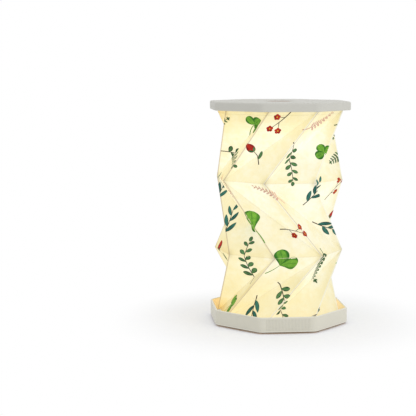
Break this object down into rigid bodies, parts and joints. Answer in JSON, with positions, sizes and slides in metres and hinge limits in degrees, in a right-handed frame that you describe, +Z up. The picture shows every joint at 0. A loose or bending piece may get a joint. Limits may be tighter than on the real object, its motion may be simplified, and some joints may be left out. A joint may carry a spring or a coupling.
{
  "type": "folding paper lantern lamp",
  "caption": "Battery table lantern: a twist-folding translucent paper shade stands between an octagonal tray base and a flat octagonal lid that holds the light and a round push button.",
  "frame": {"origin": "under the middle of the base tray, on the surface that its rubber feet stand on", "axes": "+Z up along the lantern, -Y out of the front flat of the octagon, charging inlet in the lid's back flat on +Y"},
  "size_m": [0.12, 0.12, 0.1979],
  "materials": {
    "shell_plastic": "fine matt moulded, warm grey-white",
    "shade_paper": "translucent fibrous paper with a printed botanical scatter, lit from inside",
    "foot_rubber": "matt moulded rubber",
    "ring_plastic": "matt moulded",
    "magnet_nickel": "nickel plated",
    "screw_steel": "zinc plated",
    "circuit_board": "green solder mask",
    "switch_plastic": "matt moulded",
    "socket_steel": "drawn, satin",
    "cell_foil": "satin foil pouch",
    "pad_foam": "foam",
    "lead_insulation": "smooth insulation",
    "cup_plastic": "matt white moulded",
    "led_phosphor": "yellow phosphor under clear gel",
    "diffuser_opal": "frosted opal, lit",
    "button_wood": "turned and oiled, brown"
  },
  "bodies": {
    "base": {"base_tray": "shell_plastic", "base_feet": "foot_rubber", "base_magnets": "magnet_nickel", "lower_hem_ring": "ring_plastic", "lower_ring_screws": "screw_steel"},
    "shade": {"paper_shade": "shade_paper"},
    "lid": {"lid_shell": "shell_plastic", "lid_magnets": "magnet_nickel", "upper_hem_ring": "ring_plastic", "upper_ring_screws": "screw_steel", "inner_cover": "ring_plastic", "cover_screws": "screw_steel", "control_board": "circuit_board", "control_board_screws": "screw_steel", "switch_body": "switch_plastic", "charging_board": "circuit_board", "charging_board_screws": "screw_steel", "charging_socket": "socket_steel", "battery_cells": "cell_foil", "battery_pads": "pad_foam", "battery_leads": "lead_insulation", "control_lead": "lead_insulation", "led_leads": "lead_insulation", "lamp_cup": "cup_plastic", "led_board": "circuit_board", "led_chips": "led_phosphor", "diffuser": "diffuser_opal"},
    "button": {"power_button": "button_wood", "button_carrier": "switch_plastic", "switch_plunger": "switch_plastic"}
  },
  "joints": [
    {"name": "shade_turn", "type": "hinge", "parent": "base", "child": "shade", "pos_m": [0, 0, 0.0039], "axis": [0, 0, 1], "range_deg": [0, 45]},
    {"name": "lid_lower", "type": "slide", "parent": "shade", "child": "lid", "axis": [0, 0, 1], "range_m": [-0.1758, 0], "deforming": ["paper_shade"]},
    {"name": "button_press", "type": "slide", "parent": "lid", "child": "button", "axis": [0, 0, 1], "range_m": [-0.0006, 0], "stiffness_N_per_m": 2500, "springref_m": 0.0003}
  ],
  "couplings": [
    {"joint": "shade_turn", "follows": "lid_lower", "rad_per_m": -4.467}
  ]
}
